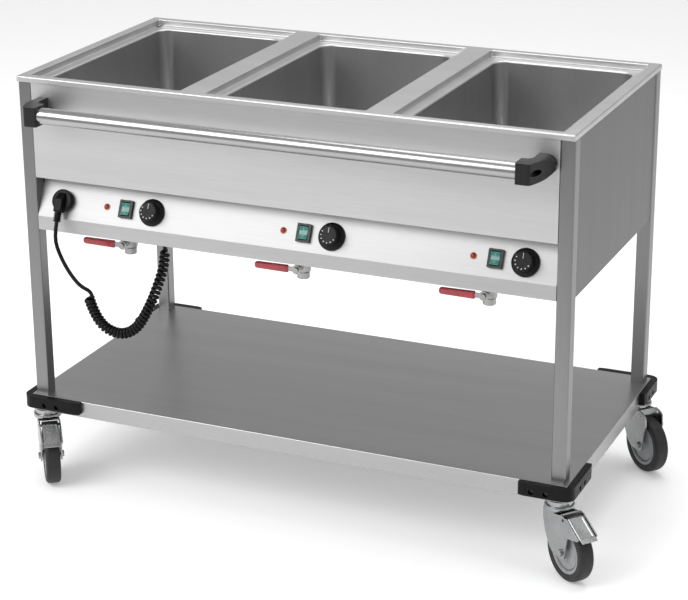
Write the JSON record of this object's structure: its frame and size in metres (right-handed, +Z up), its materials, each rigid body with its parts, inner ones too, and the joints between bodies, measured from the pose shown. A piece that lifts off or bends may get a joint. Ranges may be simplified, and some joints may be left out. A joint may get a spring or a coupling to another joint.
{
  "type": "steam table unit",
  "caption": "Mobile three-well steam table: stepped pan wells in a stainless cabinet with slanted controls, drain valves, push handle, shelf and swivel casters.",
  "frame": {"origin": "on the floor, below the middle of the box around every piece but the cord and plug", "axes": "+X along the length towards the operator's right, +Y from the operator's side to the back, +Z up"},
  "size_m": [1.3808, 0.697, 0.91],
  "materials": {
    "brushed_steel": "brushed satin",
    "well_steel": "drawn, lightly polished",
    "tube_steel": "brushed along its length",
    "shelf_steel": "satin",
    "bumper_black": "moulded",
    "screw_steel": "zinc plated",
    "handle_polished": "polished stainless",
    "bracket_black": "moulded satin",
    "heater_steel": "heat tinted",
    "lamp_lens": "translucent lens",
    "switch_black": "moulded",
    "thermostat_plastic": "moulded",
    "socket_black": "moulded",
    "plug_rubber": "moulded",
    "gland_plastic": "moulded",
    "valve_metal": "nickel plated",
    "grip_red": "dipped",
    "caster_zinc": "zinc plated",
    "cord_rubber": "moulded",
    "rocker_green": "translucent",
    "knob_black": "moulded",
    "wheel_grey": "moulded",
    "tyre_grey": "rubber tread"
  },
  "bodies": {
    "cabinet": {"top_deck": "brushed_steel", "well_left": "well_steel", "well_middle": "well_steel", "well_right": "well_steel", "heating_elements": "heater_steel", "leg_front_left": "tube_steel", "leg_front_right": "tube_steel", "leg_rear_right": "tube_steel", "leg_rear_left": "tube_steel", "corner_bumper_front_left": "bumper_black", "corner_bumper_front_right": "bumper_black", "corner_bumper_rear_right": "bumper_black", "corner_bumper_rear_left": "bumper_black", "front_fascia": "brushed_steel", "rear_panel": "brushed_steel", "side_panel_left": "brushed_steel", "side_panel_right": "brushed_steel", "control_panel": "brushed_steel", "underside_pan": "shelf_steel", "lower_shelf": "shelf_steel", "pan_head_screws": "screw_steel", "push_handle_tube": "handle_polished", "handle_bracket_left": "bracket_black", "handle_bracket_right": "bracket_black", "indicator_lamps": "lamp_lens", "switch_housings": "switch_black", "thermostats": "thermostat_plastic", "plug_socket": "socket_black", "plug": "plug_rubber", "cable_gland": "gland_plastic", "drain_valves": "valve_metal", "caster_stems": "caster_zinc", "cord_lead": "cord_rubber", "curly_cord": "cord_rubber"},
    "knob_left": {"control_knob_left": "knob_black"},
    "rocker_left": {"rocker_left": "rocker_green"},
    "valve_lever_left": {"valve_lever_left": "valve_metal", "valve_grip_left": "grip_red"},
    "knob_middle": {"control_knob_middle": "knob_black"},
    "rocker_middle": {"rocker_middle": "rocker_green"},
    "valve_lever_middle": {"valve_lever_middle": "valve_metal", "valve_grip_middle": "grip_red"},
    "knob_right": {"control_knob_right": "knob_black"},
    "rocker_right": {"rocker_right": "rocker_green"},
    "valve_lever_right": {"valve_lever_right": "valve_metal", "valve_grip_right": "grip_red"},
    "swivel_front_left": {"caster_fork_front_left": "caster_zinc"},
    "wheel_front_left": {"caster_wheel_front_left": "wheel_grey", "caster_tyre_front_left": "tyre_grey"},
    "brake_front_left": {"brake_pedal_front_left": "caster_zinc"},
    "swivel_front_right": {"caster_fork_front_right": "caster_zinc"},
    "wheel_front_right": {"caster_wheel_front_right": "wheel_grey", "caster_tyre_front_right": "tyre_grey"},
    "brake_front_right": {"brake_pedal_front_right": "caster_zinc"},
    "swivel_rear_right": {"caster_fork_rear_right": "caster_zinc"},
    "wheel_rear_right": {"caster_wheel_rear_right": "wheel_grey", "caster_tyre_rear_right": "tyre_grey"},
    "swivel_rear_left": {"caster_fork_rear_left": "caster_zinc"},
    "wheel_rear_left": {"caster_wheel_rear_left": "wheel_grey", "caster_tyre_rear_left": "tyre_grey"}
  },
  "joints": [
    {"name": "knob_left_turn", "type": "hinge", "parent": "cabinet", "child": "knob_left", "pos_m": [-0.30311, -0.24838, 0.64127], "axis": [0, -0.91, 0.4147], "range_deg": [-300, 0]},
    {"name": "rocker_left_tip", "type": "hinge", "parent": "cabinet", "child": "rocker_left", "pos_m": [-0.36361, -0.24383, 0.6392], "axis": [1, 0, 0], "range_deg": [0, 7]},
    {"name": "valve_left_turn", "type": "hinge", "parent": "cabinet", "child": "valve_lever_left", "pos_m": [-0.40311, -0.1705, 0.544], "axis": [0, 1, 0], "range_deg": [-90, 0]},
    {"name": "knob_middle_turn", "type": "hinge", "parent": "cabinet", "child": "knob_middle", "pos_m": [0.10389, -0.24838, 0.64127], "axis": [0, -0.91, 0.4147], "range_deg": [-300, 0]},
    {"name": "rocker_middle_tip", "type": "hinge", "parent": "cabinet", "child": "rocker_middle", "pos_m": [0.04339, -0.24383, 0.6392], "axis": [1, 0, 0], "range_deg": [0, 7]},
    {"name": "valve_middle_turn", "type": "hinge", "parent": "cabinet", "child": "valve_lever_middle", "pos_m": [0.00389, -0.1705, 0.544], "axis": [0, 1, 0], "range_deg": [-90, 0]},
    {"name": "knob_right_turn", "type": "hinge", "parent": "cabinet", "child": "knob_right", "pos_m": [0.51089, -0.24838, 0.64127], "axis": [0, -0.91, 0.4147], "range_deg": [-300, 0]},
    {"name": "rocker_right_tip", "type": "hinge", "parent": "cabinet", "child": "rocker_right", "pos_m": [0.45039, -0.24383, 0.6392], "axis": [1, 0, 0], "range_deg": [0, 7]},
    {"name": "valve_right_turn", "type": "hinge", "parent": "cabinet", "child": "valve_lever_right", "pos_m": [0.41089, -0.1705, 0.544], "axis": [0, 1, 0], "range_deg": [-90, 0]},
    {"name": "swivel_front_left_turn", "type": "hinge", "parent": "cabinet", "child": "swivel_front_left", "pos_m": [-0.58561, -0.249, 0.145], "axis": [0, 0, 1], "continuous": true},
    {"name": "wheel_front_left_roll", "type": "hinge", "parent": "swivel_front_left", "child": "wheel_front_left", "pos_m": [-0.56092, -0.28298, 0.0625], "axis": [0.809, 0.5878, 0], "continuous": true},
    {"name": "brake_front_left_press", "type": "hinge", "parent": "swivel_front_left", "child": "brake_front_left", "pos_m": [-0.55857, -0.28621, 0.1345], "axis": [0.809, 0.5878, 0], "range_deg": [0, 8]},
    {"name": "swivel_front_right_turn", "type": "hinge", "parent": "cabinet", "child": "swivel_front_right", "pos_m": [0.59339, -0.249, 0.145], "axis": [0, 0, 1], "continuous": true},
    {"name": "wheel_front_right_roll", "type": "hinge", "parent": "swivel_front_right", "child": "wheel_front_right", "pos_m": [0.62649, -0.27486, 0.0625], "axis": [0.6157, 0.788, 0], "continuous": true},
    {"name": "brake_front_right_press", "type": "hinge", "parent": "swivel_front_right", "child": "brake_front_right", "pos_m": [0.62964, -0.27732, 0.1345], "axis": [0.6157, 0.788, 0], "range_deg": [0, 8]},
    {"name": "swivel_rear_right_turn", "type": "hinge", "parent": "cabinet", "child": "swivel_rear_right", "pos_m": [0.59339, 0.308, 0.145], "axis": [0, 0, 1], "continuous": true},
    {"name": "wheel_rear_right_roll", "type": "hinge", "parent": "swivel_rear_right", "child": "wheel_rear_right", "pos_m": [0.62557, 0.281, 0.0625], "axis": [0.6428, 0.766, 0], "continuous": true},
    {"name": "swivel_rear_left_turn", "type": "hinge", "parent": "cabinet", "child": "swivel_rear_left", "pos_m": [-0.58561, 0.308, 0.145], "axis": [0, 0, 1], "continuous": true},
    {"name": "wheel_rear_left_roll", "type": "hinge", "parent": "swivel_rear_left", "child": "wheel_rear_left", "pos_m": [-0.62738, 0.30361, 0.0625], "axis": [0.1045, -0.9945, 0], "continuous": true}
  ]
}
